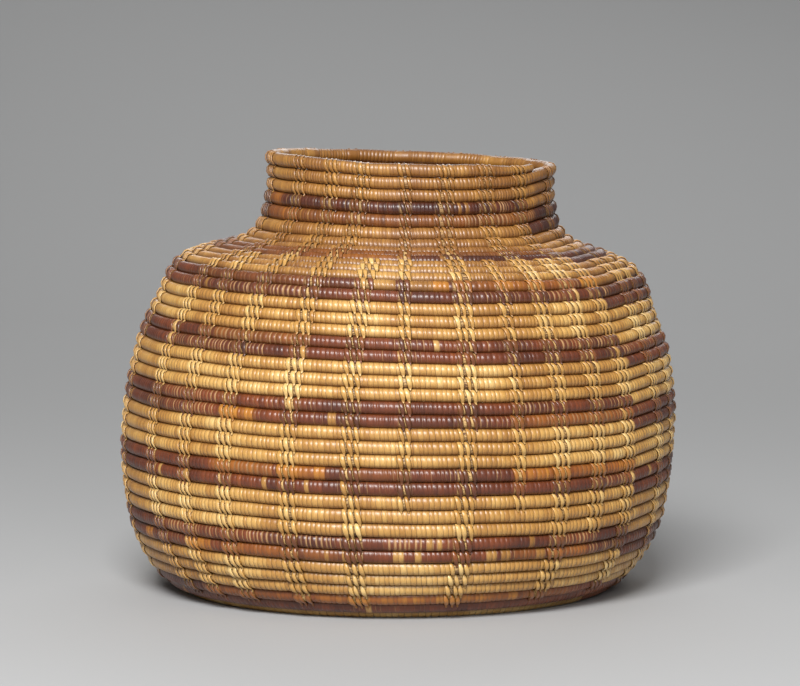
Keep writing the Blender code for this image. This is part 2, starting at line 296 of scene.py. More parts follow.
def rollUp(mesh, places, values, bakeUv, fibreUv):
    # puts the sheet's vertices in place, stores its attributes and joins the edges that meet
    mesh.vertices.foreach_set("co", places.ravel())
    for label in attributeNames:
        layer = mesh.attributes.new(label, "FLOAT", "POINT")
        value = np.broadcast_to(values.get(label, 0.0), len(places))
        layer.data.foreach_set("value", value.astype(np.float32))
    for label, uv in (("OFBake", bakeUv), ("Fibre", fibreUv)):
        layer = mesh.uv_layers.get(label) or mesh.uv_layers.new(name=label)
        layer.data.foreach_set("uv", uv.astype(np.float32).ravel())
    shape = bmesh.new()
    shape.from_mesh(mesh)
    bmesh.ops.remove_doubles(shape, verts=shape.verts, dist=weldDistance)
    loose = [edge for edge in shape.edges if not edge.link_faces]
    bmesh.ops.delete(shape, geom=loose, context="EDGES")
    bmesh.ops.recalc_face_normals(shape, faces=shape.faces)
    for face in shape.faces:
        face.smooth = True
    shape.to_mesh(mesh)
    shape.free()


def addPiece(mesh, material, node):
    mesh.materials.append(material)
    piece = bpy.data.objects.new(mesh.name, mesh)
    bpy.context.scene.collection.objects.link(piece)
    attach(piece, "root")
    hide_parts(node)


# The coil: grass wrapped with flat strips
coil = {
    "thickness": 5.95 * mm,  # through the wall
    "press": 0.14 * mm,  # how far each turn is pressed into its neighbours
    "wrapWidth": 2.45 * mm,
    "neckWrapWidth": 1.95 * mm,
    "neckTurns": 10,
    "baseWrapWidth": 3.2 * mm,
    "wrapUneven": (0.72, 1.28),  # each wrap's width, as a share of the mean
    "stepsPerTurn": 400,  # in which its length is measured
    "sides": 12,
    "sidesOutward": 0.25,  # how much closer together the sides lie on the outside
    # each wrap is a small barrel: its rings from one groove to the next, and how deep they lie
    "rings": [(0, 1.0), (0.13, 0.28), (0.5, 0.0), (0.87, 0.28)],
    "grooveDepth": 0.145,  # as a share of the coil's radius
    "grooveUneven": (0.6, 1.3),
    "pinch": 0.1,  # how much slimmer the coil is where a column fastens it
    "pinchUp": 0.03,  # and how much lower
    "pinchLength": 3.5 * mm,
    "swell": 0.025,  # how unevenly thick the bundle is
    "swellWaves": ((7.3, 21.1, 43.7), 2.1),
    "thickest": 1.03,
    "footThickest": 0.985,  # so that the base stays flat
    "footTurns": 1.5,
    "coreDrop": 0.4 * mm,  # the bare foundation lies this much deeper
    "coreEdge": 0.5 * mm,  # over which the wrapping gives way to it, to either side
    "coreRound": 0.25,  # and over which it ends above and below, as a cosine
    "slant": 0.25 * mm,
    "slantUneven": 0.8,
    "slantWaves": ((4.7, 12.9), 0.3),
    "tail": 0.1,  # tapered end on the rim, as a share of a turn
    "tailThickness": 0.6,
    "lightTurns": 3,
    "darkTurns": 2,
    "darkBands": 8,
    "cellMargin": 0.04,
}

# How the wraps differ in tone, dye and wear, and their painted shade and light. Tone runs from 0, the
# darkest, to 1.
wearAndPaintedLight = {
    "tone": 0.5,
    "toneUneven": 0.07,  # from wrap to wrap
    "toneWaver": 0.1,  # and along the coil
    "toneWaves": ((2.1, 6.1, 15.3, 33.7), 1.1),
    "ageAndShade": 0.38,  # how much darker the neck is, partly from age and partly as painted shade
    "ageAndShadeRows": (5.5, 15),  # above these rows, and further down at the sides
    "ageAndShadeSides": 4.5,
    "basePaintedLight": 0.2,  # the base and the foot of the wall are painted paler, as painted light where they face the floor
    "baseTurn": (-0.6, -0.2),  # where it begins, from the foot of the wall
    "wornWaves": ((0.83, 2.31, 5.7), 0.4),  # worn places behind, where these waves are high
    "wornHeight": (0.75, 1.0),
    "wornShare": (0.4, 0.88),  # the part of each turn that counts as behind
    "wornBehind": (0.2, 0.9),  # how strongly the dye has worn there
    "wornUneven": (0.5, 1.1),
    "placeEnds": 0.002,  # half of the length over which a worn or pale place ends, in turns
    "stripe": 0.2,  # how strongly pale lines show between dark wraps
    "stripeWaver": 0.5,
    "stripeWaves": ((1.3, 3.7, 8.9), 2.9),
    "stripeMost": 0.5,
    "stripeUneven": (0.2, 0.9),
    "darkLine": (0.3, 1.0),  # the groove between two dark wraps
    "plainLine": 0.5,  # how much of it shows where there are no pale lines
    "lightLine": (0.75, 1.0),
    "undyed": 0.01,  # share of dark wraps that took hardly any dye
    "undyedDye": 0.25,
    "strawNeck": 0.55,  # the bare foundation shows less on the neck
    "strawRows": (4, 10),
    "baseDirtAndShade": 0.4,  # share of the wall's dirt and painted shade in the crevices of the base
    "dirtAndShadeBelow": 2.5,  # how closely the dirt and painted shade keep to the crevice below a turn
    "dirtAndShadeAbove": 6,  # and to the one above it
}

# The colour changes a little after the seam: turn and degrees
colourSeam = [(0, 5.5), (20, 5.5), (24, 2.5), (30, 1.0), (33, 0.0)]

# Places where the dark dye has worn to orange, on the side towards the front: row from the rim,
# degrees to the right of the front at both ends, and strength
wornPlaces = [
    (3, -72, -62, 0.7),
    (4, -72, 57, 0.4),
    (4, -60, -48, 0.6),
    (8, -80, 57, 0.45),
    (9, -80, -25, 0.35),
    (9, -20, -4, 0.6),
    (13, -60, -20, 0.2),
    (13, 5, 9.5, 0.9),
    (13, 14, 21, 0.45),
    (13, 22, 31, 0.85),
    (13, 33, 43, 0.45),
    (13, 45, 51, 1.0),
    (18, -45, -20, 0.4),
    (24, -37, -30, 0.95),
    (24, 25, 50, 0.5),
    (28, -40, -25, 0.65),
    (28, -21, -14, 0.9),
    (28, -10, 0, 0.25),
    (28, 25.5, 33, 0.85),
    (28, 36, 45, 0.6),
    (28, 46, 57, 0.8),
    (34, -66, -62, 0.9),
    (34, -47, -41, 1.0),
    (34, -34, -23, 0.5),
    (34, -19, -11, 0.45),
    (34, 25, 31, 0.4),
    (34, 37, 44, 0.6),
    (38, -50, -20, 0.45),
    (38, -18, 12, 0.9),
    (38, 16, 30, 0.85),
    (38, 30, 45, 0.5),
]
# Undyed wraps among the dark ones: row, degrees at both ends and the share that is undyed
paleWraps = [
    (3, 20.5, 22, 1.0),
    (13, -9, 5, 0.9),
    (14, -55, -52, 0.4),
    (23, 22, 23.5, 1.0),
    (24, -14, -12.5, 1.0),
    (29, -18.4, -17.1, 1.0),
    (33, 0, 12, 0.35),
    (34, -14.5, -13, 1.0),
    (34, -10, -7, 0.6),
    (34, 0, 5.5, 0.85),
    (34, 19, 24, 0.7),
    (34, 31, 32.5, 1.0),
]
# Where pale lines show strongly between dark wraps: row and degrees at both ends
stripedPlaces = [
    (14, -45, -22),
    (14, 33, 38),
    (18, -45, -20),
    (19, -60, -30),
    (23, -57, -37),
    (24, -55, -40),
    (28, -38, -25),
    (33, -55, -38),
    (33, -35, -10),
    (33, -2, 12),
    (33, 37, 46),
    (3, 30, 57),
    (4, 20, 57),
    (13, 40, 57),
    (14, 46, 57),
    (18, 34, 57),
    (19, 48, 57),
    (19, 57, 75),
    (23, 24, 33),
    (23, 40, 57),
    (24, 30, 57),
    (29, 45, 57),
    (34, 30, 57),
]


def isDarkTurn(turn):
    turn = turn - np.interp(turn, *zip(*colourSeam)) / 360
    cycle = coil["lightTurns"] + coil["darkTurns"]
    return (turn > 0) & (turn % cycle >= coil["lightTurns"]) & (turn < cycle * coil["darkBands"])


def inPlace(turn, row, left, right):
    # 1 between these degrees of a row, and 0 elsewhere, with soft ends
    soft = wearAndPaintedLight["placeEnds"]
    first = row + course["seam"] - right / 360
    last = row + course["seam"] - left / 360
    return smoothStep(first - soft, first + soft, turn) * smoothStep(-last - soft, soft - last, -turn)


def wrapEdges(first, last, width):
    # turns at which one wrap ends and the next begins, with the unevenness of handwork
    table = np.linspace(first, last, coil["stepsPerTurn"] * max(1, round(last - first)))
    steps = np.linalg.norm(np.diff(coilMiddle(table), axis=0), axis=1)
    run = np.concatenate([[0], np.cumsum(steps)])
    widths = rng.uniform(*coil["wrapUneven"], round(run[-1] / width))
    edges = np.concatenate([[0], np.cumsum(widths)]) / widths.sum() * run[-1]
    return np.interp(edges, run, table), edges


def tailAt(turn):  # how thick the coil is, near its tapered end
    return coil["tailThickness"] + (1 - coil["tailThickness"]) * smoothStep(0, coil["tail"], turn)


def wrapLooks(middles):
    # tone with its painted shade and light, dye, wear, line in the groove and line beside it, for the wraps
    # with these middles
    wraps = len(middles)
    toSide = np.abs(np.sin(2 * np.pi * (course["seam"] - middles)))
    tone = wearAndPaintedLight["tone"] + wearAndPaintedLight["toneUneven"] * rng.standard_normal(wraps)
    tone = tone + wearAndPaintedLight["toneWaver"] * ripple(middles, *wearAndPaintedLight["toneWaves"])
    # the neck and the sides are darker, partly from age and partly as painted shade
    full, gone = wearAndPaintedLight["ageAndShadeRows"]
    tone = tone - wearAndPaintedLight["ageAndShade"] * (1 - smoothStep(full, gone + wearAndPaintedLight["ageAndShadeSides"] * toSide, middles))
    # painted light: the base and the foot of the wall are paler
    baseStart, baseFull = wearAndPaintedLight["baseTurn"]
    tone = tone + wearAndPaintedLight["basePaintedLight"] * smoothStep(wallTurns + baseStart, wallTurns + baseFull, middles)

    dark = isDarkTurn(middles).astype(float)
    first, last = wearAndPaintedLight["wornShare"]
    behind = (middles % 1 > first) & (middles % 1 < last)
    worn = smoothStep(*wearAndPaintedLight["wornHeight"], ripple(middles, *wearAndPaintedLight["wornWaves"])) * behind
    worn = worn * rng.uniform(*wearAndPaintedLight["wornBehind"], wraps)
    stripe = wearAndPaintedLight["stripe"] + wearAndPaintedLight["stripeWaver"] * ripple(middles, *wearAndPaintedLight["stripeWaves"])
    stripe = np.clip(stripe, 0, wearAndPaintedLight["stripeMost"])
    pale = rng.random(wraps) < wearAndPaintedLight["undyed"]
    for row, left, right, strength in wornPlaces:
        here = strength * inPlace(middles, row, left, right)
        worn = np.maximum(worn, here * rng.uniform(*wearAndPaintedLight["wornUneven"], wraps))
    for row, left, right, share in paleWraps:
        pale = pale | ((inPlace(middles, row, left, right) > 0.5) & (rng.random(wraps) < share))
    for row, left, right in stripedPlaces:
        stripe = np.maximum(stripe, inPlace(middles, row, left, right))
    dark = np.where(pale, dark * wearAndPaintedLight["undyedDye"], dark)
    darkLine = rng.uniform(*wearAndPaintedLight["darkLine"], wraps) * (wearAndPaintedLight["plainLine"] + stripe)
    line = np.where(dark > 0.5, darkLine, rng.uniform(*wearAndPaintedLight["lightLine"], wraps))
    beside = stripe * dark * rng.uniform(*wearAndPaintedLight["stripeUneven"], wraps)
    return np.clip(tone, 0, 1), dark, np.clip(worn, 0, 1) * dark, line, beside


def coilPiece(name, first, last, width, material):
    edgeTurns, edgeRuns = wrapEdges(first, last, width)
    wraps = len(edgeTurns) - 1
    within, sunk = np.array(coil["rings"]).T
    turns = (edgeTurns[:-1, None] + np.diff(edgeTurns)[:, None] * within).ravel()
    runs = (edgeRuns[:-1, None] + np.diff(edgeRuns)[:, None] * within).ravel()
    turns = np.concatenate([[first], turns, [last, last]])  # the ends close in a point
    runs = np.concatenate([[0], runs, [edgeRuns[-1]] * 2])
    wrapOf = np.clip((np.arange(len(turns)) - 1) // len(within), 0, wraps - 1)
    sunk = np.concatenate([[1], np.tile(sunk, wraps), [1, 1]])
    inside = np.ones(len(turns))
    inside[[0, -1]] = 0

    # how thick the coil is at each ring, and where its foundation lies bare
    middle, along, out, up, roomAbove, roomBelow = coilFrame(turns)
    distance, half = toColumn(turns)
    bare = 1 - smoothStep(half - coil["coreEdge"], half + coil["coreEdge"], distance)
    bare = bare * (turns < wallTurns)
    near = np.exp(-(np.maximum(distance - half, 0) / coil["pinchLength"]) ** 2)
    body = 1 - coil["pinch"] * near * (1 - bare)
    body = body + coil["swell"] * ripple(turns, *coil["swellWaves"])
    atFoot = turns > wallTurns - coil["footTurns"]
    body = np.minimum(body, np.where(atFoot, coil["footThickest"], coil["thickest"]))
    tail = tailAt(turns)
    uneven = rng.uniform(*coil["grooveUneven"], wraps)[wrapOf]
    depth = 1 - coil["grooveDepth"] * uneven * sunk * (1 - bare)
    ringRadius = coil["thickness"] / 2 * body * tail * depth * inside
    ringHeight = (1 - coil["pinchUp"] * near) * tail * inside
    middle = middle - up * (roomBelow * (1 - tail))[:, None]
    slant = coil["slant"] * (1 + coil["slantUneven"] * ripple(turns, *coil["slantWaves"])) * (1 - bare)

    mesh, ring, side = gridMesh(name, len(turns), coil["sides"])
    around = (side / coil["sides"] * 2 - 1) * np.pi  # 0 is straight out of the wall
    around = around - coil["sidesOutward"] * np.sin(around)
    outward = smoothStep(-coil["coreRound"], coil["coreRound"], np.cos(around))
    core = coil["coreDrop"] * bare[ring] * outward * inside[ring]
    radiusOut = ringRadius[ring] - core
    radiusUp = np.where(around > 0, roomAbove[ring], roomBelow[ring]) + coil["press"]
    radiusUp = radiusUp * ringHeight[ring] - core / 2
    places = (
        middle[ring]
        + out[ring] * (radiusOut * np.cos(around))[:, None]
        + up[ring] * (radiusUp * np.sin(around))[:, None]
        + along[ring] * (slant[ring] * np.sin(around) * inside[ring])[:, None]
    )

    tone, dark, worn, line, beside = wrapLooks((edgeTurns[:-1] + edgeTurns[1:]) / 2)
    groove = np.where(sunk == 1, line[wrapOf], np.where(sunk > 0, beside[wrapOf], 0))
    strawRows = smoothStep(*wearAndPaintedLight["strawRows"], turns)
    straw = bare * (wearAndPaintedLight["strawNeck"] + (1 - wearAndPaintedLight["strawNeck"]) * strawRows)
    baseStart, baseFull = wearAndPaintedLight["baseTurn"]
    onBase = smoothStep(wallTurns + baseStart, wallTurns + baseFull, turns)
    # dirt and painted shade in the crevices between turns, broader on the lower side, where shade falls,
    # and less there on the base
    dirtAndShade = 1 - (1 - wearAndPaintedLight["baseDirtAndShade"]) * onBase
    dirtAndShadeBelow = np.abs(np.sin(around)) ** wearAndPaintedLight["dirtAndShadeBelow"] * dirtAndShade[ring]
    dirtAndShadeAbove = np.abs(np.sin(around)) ** wearAndPaintedLight["dirtAndShadeAbove"]
    values = {
        "tone": tone[wrapOf][ring],
        "worn": worn[wrapOf][ring],
        "dark": dark[wrapOf][ring],
        "groove": (np.clip(groove, 0, 1) * (1 - bare))[ring],
        "straw": straw[ring] * outward,
        "crevice": np.where(around < 0, dirtAndShadeBelow, dirtAndShadeAbove),
    }

    # for baking, the coil is laid out in rows that fill a square
    girth = np.pi * coil["thickness"]
    rows = max(1, round(math.sqrt(runs[-1] / girth)))
    perRow = math.ceil((len(turns) - 1) / rows)
    cornerRing, cornerSide, firstRing = cornerPlaces(mesh, ring, side, coil["sides"])
    row = firstRing // perRow
    bakeAcross = (cornerRing - row * perRow) / perRow
    bakeUp = (row + inCell(cornerSide, coil["cellMargin"])) / rows
    bakeUv = np.stack([bakeAcross, bakeUp], axis=1)
    fibreUv = np.stack([runs[cornerRing], cornerSide], axis=1)
    rollUp(mesh, places, values, bakeUv, fibreUv)
    addPiece(mesh, material, name)


# The long stitches, each from the top of one turn to a point on the turn below it
stitch = {
    "height": 0.38 * mm,  # how far its crown stands up
    # round the strip: place across as a share of its width, and crown 1, edge 0 or underside -1
    "profile": [(-0.5, 0), (-0.28, 1), (0.28, 1), (0.5, 0), (0.0, -1)],
    "slant": 1.9 * mm,  # its point lies this much further right
    "sideSlant": 0.9 * mm,  # more at the left of the jar
    "rightSlant": 1.8 * mm,  # and still more at its right
    "columnUneven": 0.2 * mm,  # a whole column leans a little more or less
    "uneven": 0.25 * mm,
    "sizes": (0.85, 1.12),
    "neckRows": (5, 14),  # above these rows the stitches are finer, and darker from age and painted shade
    "neckWidth": 0.86,
    "neckAgeAndShade": 0.55,
    "tone": 0.68,
    "toneUneven": 0.1,
    "darkTone": 0.35,  # how much darker a dyed stitch is
    "undyed": 0.03,
    "undyedDye": 0.15,
    "worn": 0.3,  # the most that a stitch has worn anywhere
    "wornBeyond": 3,  # degrees by which worn places reach into the stitches beside them
    "edgeLine": 0.7,
    "cellMargin": 0.05,
    # where the grain of the fibre lies on a strip: its size round and along, and a step that
    # gives each stitch its own
    "grainSize": (5 * mm, 0.6),
    "grainStep": 0.013,
    # along the stitch: turn below, degrees round that turn, lift and width in millimetres, the
    # place across as a share of the slant, and the dirt and painted shade, most in the crevices
    "course": [
        (0, 122, -0.3, 0.0, -0.5, 1),
        (0, 92, -0.05, 1.3, -0.42, 0.6),
        (0, 56, 0.14, 2.1, -0.28, 0.1),
        (0, 24, 0.26, 2.65, -0.1, 0),
        (0, -10, 0.26, 2.6, 0.1, 0),
        (0, -44, 0.18, 2.1, 0.3, 0.25),
        (1, 60, 0.2, 1.5, 0.45, 0.4),
        (1, 45, 0.14, 1.0, 0.53, 0.2),
        (1, 31, -0.3, 0.0, 0.6, 0.5),
    ],
}


def stitchStarts(column):
    # the turn on which each stitch starts, and its distance from the middle of the column
    across, first, last, degrees = column
    spots = (np.arange(across) - (across - 1) / 2) * columns["spacing"]
    starts = []
    for row in range(math.ceil(wallTurns)):
        turn = row + (course["seam"] - np.interp(row, columns["stops"], degrees) / 360) % 1
        if first <= turn <= last:
            starts.extend((turn, spot) for spot in spots)
    return np.array(starts).T


def stitchPiece(number, column, material):
    starts, spots = stitchStarts(column)
    count = len(starts)
    radius, _ = onOutline(starts)
    spots = spots + rng.normal(0, stitch["uneven"], count)
    onNeck = 1 - smoothStep(*stitch["neckRows"], starts)
    toRight = np.sin(2 * np.pi * (course["seam"] - starts))
    lean = np.maximum(toRight, 0) * stitch["rightSlant"] - np.minimum(toRight, 0) * stitch["sideSlant"]
    lean = stitch["slant"] + lean + rng.normal(0, stitch["columnUneven"])
    lean = lean + rng.normal(0, stitch["uneven"], count)
    size = rng.uniform(*stitch["sizes"], count) * (1 - (1 - stitch["neckWidth"]) * onNeck)

    # the middle line of each stitch, held off the coil by its lift
    below, degrees, lift, width, sideways, dirtAndShade = np.array(stitch["course"]).T
    nodes = len(below)
    shift = spots[:, None] + lean[:, None] * sideways
    turns = starts[:, None] - shift / (2 * np.pi * radius[:, None]) + below
    middle, along, out, up, roomAbove, roomBelow = coilFrame(turns)
    angle = np.radians(degrees)[None, :, None]
    away = (out * np.cos(angle) + up * np.sin(angle)).reshape(-1, 3)
    tail = tailAt(turns)
    middle = middle - up * (roomBelow * (1 - tail))[..., None]
    outReach = coil["thickness"] / 2 * tail + lift * mm
    upReach = np.where(degrees > 0, roomAbove, roomBelow) * tail + lift * mm
    line = middle + out * outReach[..., None] * np.cos(angle) + up * upReach[..., None] * np.sin(angle)
    line = line.reshape(-1, 3)
    along = along.reshape(-1, 3)
    wide = (width * size[:, None]).ravel() * mm
    high = np.where(wide > 0, stitch["height"], 0)

    sides = len(stitch["profile"])
    mesh, ring, side = gridMesh(f"long_stitches_{number:02d}", count * nodes, sides)
    across, raised = np.array(stitch["profile"])[side % sides].T
    places = line[ring] - along[ring] * (across * wide[ring])[:, None]
    places = places + away[ring] * (raised * high[ring])[:, None]

    owner = ring // nodes
    dark = isDarkTurn(starts).astype(float)
    dark = np.where(rng.random(count) < stitch["undyed"], dark * stitch["undyedDye"], dark)
    tone = np.clip(stitch["tone"] + stitch["toneUneven"] * rng.standard_normal(count), 0, 1)
    # on the neck the stitches are darker, partly from age and partly as painted shade
    tone = tone - stitch["neckAgeAndShade"] * onNeck - stitch["darkTone"] * dark
    worn = rng.uniform(0, stitch["worn"], count)
    beyond = stitch["wornBeyond"]
    for row, left, right, strength in wornPlaces:
        worn = np.maximum(worn, strength * inPlace(starts, row, left - beyond, right + beyond))
    values = {
        "tone": tone[owner],
        "dark": dark[owner],
        "worn": (worn * dark)[owner],
        "groove": np.where(raised < 0.5, stitch["edgeLine"], 0.0),
        "crevice": dirtAndShade[ring % nodes],
    }

    # for baking, the stitches stand in the cells of a square
    cells = math.ceil(math.sqrt(count))
    cornerRing, cornerSide, firstRing = cornerPlaces(mesh, ring, side, sides)
    owned = firstRing // nodes
    lengthwise = np.clip(cornerRing - owned * nodes, 0, nodes - 1) / (nodes - 1)
    bakeAcross = (owned % cells + inCell(cornerSide, stitch["cellMargin"])) / cells
    bakeUp = (owned // cells + inCell(lengthwise, stitch["cellMargin"])) / cells
    bakeUv = np.stack([bakeAcross, bakeUp], axis=1)
    grainRound, grainAlong = stitch["grainSize"]
    fibreRound = cornerSide * grainRound + owned * stitch["grainStep"]
    fibreUv = np.stack([fibreRound, lengthwise * grainAlong], axis=1)
    rollUp(mesh, places, values, bakeUv, fibreUv)
    addPiece(mesh, material, f"stitch_column_{number:02d}")


# The start of the coil in the middle of the base, a small snail that fills the first turn
knot = {
    "height": 2.8 * mm,  # above and below its middle
    "overlap": 0.3 * mm,
    "segments": 72,
    "levels": 12,
    "ridges": 18,
    "ridgeDepth": 0.05,
    "tone": 0.45,
    # how much of the crevice colour, dirt and painted shade, lies over the knot
    "dirtAndShade": 0.15,
}


def knotPiece(material):
    low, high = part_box("start_knot")
    middle = (low + high) / 2
    mesh = bpy.data.meshes.new("start_knot_wrapped")
    shape = bmesh.new()
    bmesh.ops.create_uvsphere(shape, u_segments=knot["segments"], v_segments=knot["levels"], radius=1)
    for vert in shape.verts:
        angle = math.atan2(vert.co.y, vert.co.x)
        level = math.hypot(vert.co.x, vert.co.y)
        # its edge follows the inner side of the last turn of the coil
        toEnd = (allTurns - course["seam"] + 0.25 + angle / (2 * math.pi)) % 1
        radius = course["startRadius"] + (toEnd - 0.5) * course["basePitch"] + knot["overlap"]
        ridge = 1 - knot["ridgeDepth"] * level * (0.5 + 0.5 * math.cos(angle * knot["ridges"]))
        flat = math.copysign(abs(vert.co.z) ** 0.5, vert.co.z)
        vert.co.x = middle.x + vert.co.x * radius * ridge
        vert.co.y = middle.y + vert.co.y * radius * ridge
        vert.co.z = middle.z + flat * knot["height"]
    for face in shape.faces:
        face.smooth = True
    shape.to_mesh(mesh)
    shape.free()
    for label, value in (("tone", knot["tone"]), ("crevice", knot["dirtAndShade"])):
        layer = mesh.attributes.new(label, "FLOAT", "POINT")
        layer.data.foreach_set("value", np.full(len(mesh.vertices), value, np.float32))
    fibreUv = mesh.uv_layers.new(name="Fibre")
    for corner, uv in zip(mesh.loops, fibreUv.data):
        x, y, z = mesh.vertices[corner.vertex_index].co - middle
        uv.uv = math.atan2(y, x) * course["startRadius"], z / mm
    addPiece(mesh, material, "start_knot")


# Colours of the strips, from their darkest to their palest, as stops of a ramp
fibre = {
    "light": [
        (0.0, (0.25, 0.10, 0.018)),
        (0.35, (0.43, 0.205, 0.042)),
        (0.65, (0.59, 0.33, 0.086)),
        (1.0, (0.78, 0.53, 0.205)),
    ],
    "dark": [
        (0.0, (0.046, 0.011, 0.006)),
        (0.4, (0.108, 0.025, 0.009)),
        (0.75, (0.19, 0.045, 0.012)),
        (1.0, (0.29, 0.085, 0.020)),
    ],
    "worn": [
        (0.6, (0.40, 0.135, 0.017)),
        (1.0, (0.47, 0.19, 0.026)),
    ],
    "lightGroove": (0.085, 0.028, 0.006),
    "darkGroove": (0.48, 0.27, 0.11),
    # the colour of the dirt and painted shade in the crevices between turns
    "crevice": (0.095, 0.029, 0.006),
    "strawDark": (0.13, 0.055, 0.018),
    "strawPale": (0.62, 0.39, 0.15),
    # noise over the whole jar: scale, detail, the part of it that is used and what it adds
    "blotches": (28, 3, (0.3, 0.7, -0.2, 0.18)),
    # fine lines that run the length of a strip: scale across and along, and what they add
    "streaks": ((5200, 9, 1), (0.25, 0.75, -0.13, 0.13)),
    "strawGrain": (420, 34, 1),
    "strawShare": (0.42, 0.6),  # straws over this are pale, and more are among dark wraps
    "strawMoreInDark": 0.13,
    "grooveShown": (0.3, 0.95, 0.0, 0.85),
    "roughStreaks": (0.2, 0.8),  # the part of the streaks' noise that is used, and what it adds
    "roughRange": (-0.06, 0.08),
    "strawRough": 0.35,
    "grooveRough": 0.25,
    "strawRelief": 6.0,
    "bumpStrength": 0.5,
    "bumpHeight": 0.03 * mm,
}


def rampNode(tree, stops, value):
    ramp = tree.nodes.new("ShaderNodeValToRGB")
    ramp.color_ramp.elements.remove(ramp.color_ramp.elements[1])
    ramp.color_ramp.elements[0].position = stops[0][0]
    ramp.color_ramp.elements[0].color = (*stops[0][1], 1)
    for position, colour in stops[1:]:
        ramp.color_ramp.elements.new(position).color = (*colour, 1)
    tree.links.new(value, ramp.inputs["Fac"])
    return ramp.outputs["Color"]


def attributeNode(tree, label):
    node = tree.nodes.new("ShaderNodeAttribute")
    node.attribute_name = label
    return node.outputs["Fac"]


def mixNode(tree, share, first, second):
    node = tree.nodes.new("ShaderNodeMix")
    node.data_type = "RGBA"
    for label, value in (("Factor", share), ("A", first), ("B", second)):
        socket = node.inputs[label]
        if isinstance(value, (tuple, float, int)):
            socket.default_value = (*value, 1) if isinstance(value, tuple) else value
        else:
            tree.links.new(value, socket)
    return node.outputs["Result"]


def mathNode(tree, operation, first, second=0.0, third=0.0):
    node = tree.nodes.new("ShaderNodeMath")
    node.operation = operation
    for socket, value in zip(node.inputs, (first, second, third)):
        if isinstance(value, (float, int)):
            socket.default_value = value
        else:
            tree.links.new(value, socket)
    return node.outputs["Value"]


def rangeNode(tree, value, low, high, toLow=0.0, toHigh=1.0):
    node = tree.nodes.new("ShaderNodeMapRange")
    node.interpolation_type = "SMOOTHSTEP"
    tree.links.new(value, node.inputs["Value"])
    for label, number in (("From Min", low), ("From Max", high), ("To Min", toLow), ("To Max", toHigh)):
        node.inputs[label].default_value = number
    return node.outputs["Result"]


def noiseNode(tree, vector, scale, detail=2.0, stretch=None):
    if stretch:
        mapping = tree.nodes.new("ShaderNodeMapping")
        mapping.inputs["Scale"].default_value = stretch
        tree.links.new(vector, mapping.inputs["Vector"])
        vector = mapping.outputs["Vector"]
    node = tree.nodes.new("ShaderNodeTexNoise")
    node.inputs["Scale"].default_value = scale
    node.inputs["Detail"].default_value = detail
    tree.links.new(vector, node.inputs["Vector"])
    return node.outputs["Fac"]


def fibreMaterial(name, roughness, coat, coatRoughness, crevice):
    material = bpy.data.materials.new(name)
    material.use_nodes = True
    tree = material.node_tree
    shader = tree.nodes["Principled BSDF"]
    objectPlace = tree.nodes.new("ShaderNodeTexCoord").outputs["Object"]
    fibreMap = tree.nodes.new("ShaderNodeUVMap")
    fibreMap.uv_map = "Fibre"
    strip = fibreMap.outputs["UV"]

    # the strip's own colour
    blotchScale, blotchDetail, blotchRange = fibre["blotches"]
    streakScale, streakRange = fibre["streaks"]
    blotch = noiseNode(tree, objectPlace, blotchScale, blotchDetail)
    streak = noiseNode(tree, strip, 1.0, 2, streakScale)
    tone = mathNode(tree, "ADD", attributeNode(tree, "tone"), rangeNode(tree, blotch, *blotchRange))
    tone = mathNode(tree, "ADD", tone, rangeNode(tree, streak, *streakRange))
    dark = attributeNode(tree, "dark")
    colour = mixNode(tree, dark, rampNode(tree, fibre["light"], tone), rampNode(tree, fibre["dark"], tone))
    worn = attributeNode(tree, "worn")
    colour = mixNode(tree, worn, colour, rampNode(tree, fibre["worn"], worn))

    # the straws of the bare foundation
    straws = noiseNode(tree, strip, 1.0, 1, fibre["strawGrain"])
    paleStraws = mathNode(tree, "MULTIPLY_ADD", dark, fibre["strawMoreInDark"], straws)
    paleStraws = rangeNode(tree, paleStraws, *fibre["strawShare"])
    straw = attributeNode(tree, "straw")
    colour = mixNode(tree, straw, colour, mixNode(tree, paleStraws, fibre["strawDark"], fibre["strawPale"]))

    # the line between two wraps, pale where they are dyed, and the dirt and painted shade between two turns
    groove = rangeNode(tree, attributeNode(tree, "groove"), *fibre["grooveShown"])
    paleLine = mathNode(tree, "MULTIPLY", dark, mathNode(tree, "SUBTRACT", 1.0, worn))
    lineColour = mixNode(tree, paleLine, fibre["lightGroove"], fibre["darkGroove"])
    colour = mixNode(tree, groove, colour, lineColour)
    dirtAndShade = mathNode(tree, "MULTIPLY", attributeNode(tree, "crevice"), crevice)
    colour = mixNode(tree, dirtAndShade, colour, fibre["crevice"])
    tree.links.new(colour, shader.inputs["Base Color"])

    smoother, rougher = fibre["roughRange"]
    rough = rangeNode(tree, streak, *fibre["roughStreaks"], roughness + smoother, roughness + rougher)
    rough = mathNode(tree, "MULTIPLY_ADD", straw, fibre["strawRough"], rough)
    rough = mathNode(tree, "MULTIPLY_ADD", groove, fibre["grooveRough"], rough)
    tree.links.new(rough, shader.inputs["Roughness"])
    strawHeight = mathNode(tree, "MULTIPLY", straws, straw)
    height = mathNode(tree, "MULTIPLY_ADD", strawHeight, fibre["strawRelief"], streak)
    bump = tree.nodes.new("ShaderNodeBump")
    bump.inputs["Strength"].default_value = fibre["bumpStrength"]
    bump.inputs["Distance"].default_value = fibre["bumpHeight"]
    tree.links.new(height, bump.inputs["Height"])
    tree.links.new(bump.outputs["Normal"], shader.inputs["Normal"])
    shader.inputs["Coat Weight"].default_value = coat
    shader.inputs["Coat Roughness"].default_value = coatRoughness
    return material


